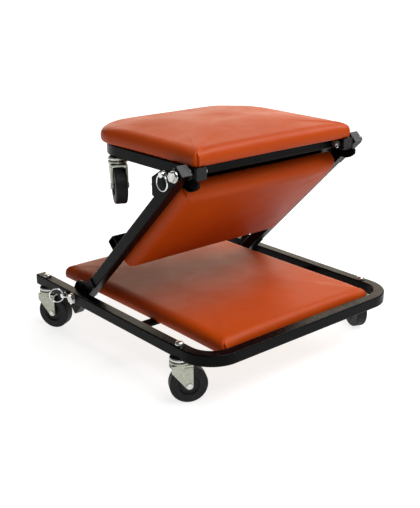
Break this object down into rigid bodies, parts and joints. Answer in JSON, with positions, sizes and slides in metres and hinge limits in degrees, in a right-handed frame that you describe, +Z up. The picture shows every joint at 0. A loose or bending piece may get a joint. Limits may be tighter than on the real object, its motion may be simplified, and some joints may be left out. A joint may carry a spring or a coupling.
{
  "type": "convertible creeper seat",
  "caption": "Folding mechanic's creeper on swivel casters: padded base, slanted padded middle panel and padded seat, hinged on square tubes with spring pull pins.",
  "frame": {"origin": "on the floor under the middle of the part's box", "axes": "+X to the right across the part, +Y towards the open rear of the base frame, +Z up"},
  "size_m": [0.4906, 0.481, 0.389],
  "materials": {
    "black_paint": "gloss",
    "orange_vinyl": "satin",
    "plywood": "matte",
    "zinc": "satin",
    "chrome": "gloss",
    "wheel_rubber": "satin",
    "black_plastic": "satin",
    "spring_steel": "satin"
  },
  "bodies": {
    "base": {"base_board": "plywood", "base_caster_bolts": "zinc", "base_caster_races": "zinc", "base_crossbars": "black_paint", "base_cushion": "orange_vinyl", "base_end_caps": "black_plastic", "base_frame": "black_paint", "base_pad_screws": "zinc", "lower_hinge_bolts": "zinc", "lower_hinge_nuts": "zinc", "lower_pin_barrels": "zinc", "lower_pin_springs": "spring_steel"},
    "mid": {"lower_index_plates": "black_paint", "mid_board": "plywood", "mid_cross_tubes": "black_paint", "mid_cushion": "orange_vinyl", "mid_end_caps": "black_plastic", "mid_pad_screws": "zinc", "mid_tube_left": "black_paint", "mid_tube_right": "black_paint", "upper_hinge_bolts": "zinc", "upper_hinge_nuts": "zinc", "upper_pin_barrels": "zinc", "upper_pin_plates": "black_paint", "upper_pin_springs": "spring_steel"},
    "seat": {"seat_board": "plywood", "seat_caster_races": "zinc", "seat_crossbars": "black_paint", "seat_cushion": "orange_vinyl", "seat_end_caps": "black_plastic", "seat_frame": "black_paint", "seat_hinge_spacers": "zinc", "seat_index_plates": "black_paint", "seat_pad_screws": "zinc"},
    "left_front_swivel": {"left_front_fork": "zinc", "left_front_axle": "zinc"},
    "left_front_roller": {"left_front_wheel": "wheel_rubber"},
    "left_rear_swivel": {"left_rear_fork": "zinc", "left_rear_axle": "zinc"},
    "left_rear_roller": {"left_rear_wheel": "wheel_rubber"},
    "right_front_swivel": {"right_front_fork": "zinc", "right_front_axle": "zinc"},
    "right_front_roller": {"right_front_wheel": "wheel_rubber"},
    "right_rear_swivel": {"right_rear_fork": "zinc", "right_rear_axle": "zinc"},
    "right_rear_roller": {"right_rear_wheel": "wheel_rubber"},
    "left_seat_swivel": {"left_seat_fork": "zinc", "left_seat_axle": "zinc"},
    "left_seat_roller": {"left_seat_wheel": "wheel_rubber"},
    "right_seat_swivel": {"right_seat_fork": "zinc", "right_seat_axle": "zinc"},
    "right_seat_roller": {"right_seat_wheel": "wheel_rubber"},
    "left_lower_pin": {"left_lower_plunger": "chrome"},
    "left_lower_pull": {"left_lower_ring": "chrome"},
    "left_upper_pin": {"left_upper_plunger": "chrome"},
    "left_upper_pull": {"left_upper_ring": "chrome"},
    "right_lower_pin": {"right_lower_plunger": "chrome"},
    "right_lower_pull": {"right_lower_ring": "chrome"},
    "right_upper_pin": {"right_upper_plunger": "chrome"},
    "right_upper_pull": {"right_upper_ring": "chrome"}
  },
  "joints": [
    {"name": "mid_fold", "type": "hinge", "parent": "base", "child": "mid", "pos_m": [0, 0.117, 0.0855], "axis": [-1, 0, 0], "range_deg": [0, 135]},
    {"name": "seat_fold", "type": "hinge", "parent": "mid", "child": "seat", "pos_m": [0, -0.14604, 0.34854], "axis": [1, 0, 0], "range_deg": [0, 135]},
    {"name": "left_front_swivel", "type": "hinge", "parent": "base", "child": "left_front_swivel", "pos_m": [-0.2105, -0.165, 0.068], "axis": [0, 0, 1], "continuous": true},
    {"name": "left_front_roll", "type": "hinge", "parent": "left_front_swivel", "child": "left_front_roller", "pos_m": [-0.19913, -0.1713, 0.03], "axis": [0.4848, 0.8746, 0], "continuous": true},
    {"name": "left_rear_swivel", "type": "hinge", "parent": "base", "child": "left_rear_swivel", "pos_m": [-0.2105, 0.216, 0.068], "axis": [0, 0, 1], "continuous": true},
    {"name": "left_rear_roll", "type": "hinge", "parent": "left_rear_swivel", "child": "left_rear_roller", "pos_m": [-0.2046, 0.20442, 0.03], "axis": [0.891, 0.454, 0], "continuous": true},
    {"name": "right_front_swivel", "type": "hinge", "parent": "base", "child": "right_front_swivel", "pos_m": [0.2105, -0.165, 0.068], "axis": [0, 0, 1], "continuous": true},
    {"name": "right_front_roll", "type": "hinge", "parent": "right_front_swivel", "child": "right_front_roller", "pos_m": [0.21558, -0.15303, 0.03], "axis": [-0.9205, 0.3907, 0], "continuous": true},
    {"name": "right_rear_swivel", "type": "hinge", "parent": "base", "child": "right_rear_swivel", "pos_m": [0.2105, 0.216, 0.068], "axis": [0, 0, 1], "continuous": true},
    {"name": "right_rear_roll", "type": "hinge", "parent": "right_rear_swivel", "child": "right_rear_roller", "pos_m": [0.2046, 0.20442, 0.03], "axis": [0.891, -0.454, 0], "continuous": true},
    {"name": "left_seat_swivel", "type": "hinge", "parent": "seat", "child": "left_seat_swivel", "pos_m": [-0.1605, 0.05196, 0.33104], "axis": [0, 0, 1], "continuous": true},
    {"name": "left_seat_roll", "type": "hinge", "parent": "left_seat_swivel", "child": "left_seat_roller", "pos_m": [-0.1664, 0.04037, 0.29304], "axis": [0.891, -0.454, 0], "continuous": true},
    {"name": "right_seat_swivel", "type": "hinge", "parent": "seat", "child": "right_seat_swivel", "pos_m": [0.1605, 0.05196, 0.33104], "axis": [0, 0, 1], "continuous": true},
    {"name": "right_seat_roll", "type": "hinge", "parent": "right_seat_swivel", "child": "right_seat_roller", "pos_m": [0.1546, 0.04037, 0.29304], "axis": [0.891, -0.454, 0], "continuous": true},
    {"name": "left_lower_pin_slide", "type": "slide", "parent": "base", "child": "left_lower_pin", "axis": [-1, 0, 0], "range_m": [0, 0.0065], "stiffness_N_per_m": 900, "springref_m": -0.004, "deforming": ["lower_pin_springs"]},
    {"name": "left_lower_pull_swing", "type": "hinge", "parent": "left_lower_pin", "child": "left_lower_pull", "pos_m": [-0.22575, 0.1385, 0.0855], "axis": [0, 0, -1], "range_deg": [-60, 45]},
    {"name": "left_upper_pin_slide", "type": "slide", "parent": "mid", "child": "left_upper_pin", "axis": [-1, 0, 0], "range_m": [0, 0.0065], "stiffness_N_per_m": 900, "springref_m": -0.004, "deforming": ["upper_pin_springs"]},
    {"name": "left_upper_pull_swing", "type": "hinge", "parent": "left_upper_pin", "child": "left_upper_pull", "pos_m": [-0.20625, -0.12454, 0.34854], "axis": [0, 1, 0], "range_deg": [-8, 110]},
    {"name": "right_lower_pin_slide", "type": "slide", "parent": "base", "child": "right_lower_pin", "axis": [1, 0, 0], "range_m": [0, 0.0065], "stiffness_N_per_m": 900, "springref_m": -0.004, "deforming": ["lower_pin_springs"]},
    {"name": "right_lower_pull_swing", "type": "hinge", "parent": "right_lower_pin", "child": "right_lower_pull", "pos_m": [0.22575, 0.1385, 0.0855], "axis": [0, 0, 1], "range_deg": [-60, 45]},
    {"name": "right_upper_pin_slide", "type": "slide", "parent": "mid", "child": "right_upper_pin", "axis": [1, 0, 0], "range_m": [0, 0.0065], "stiffness_N_per_m": 900, "springref_m": -0.004, "deforming": ["upper_pin_springs"]},
    {"name": "right_upper_pull_swing", "type": "hinge", "parent": "right_upper_pin", "child": "right_upper_pull", "pos_m": [0.20625, -0.12454, 0.34854], "axis": [0, -1, 0], "range_deg": [-8, 110]}
  ],
  "couplings": [
    {"joint": "seat_fold", "follows": "mid_fold", "ratio": 1}
  ]
}
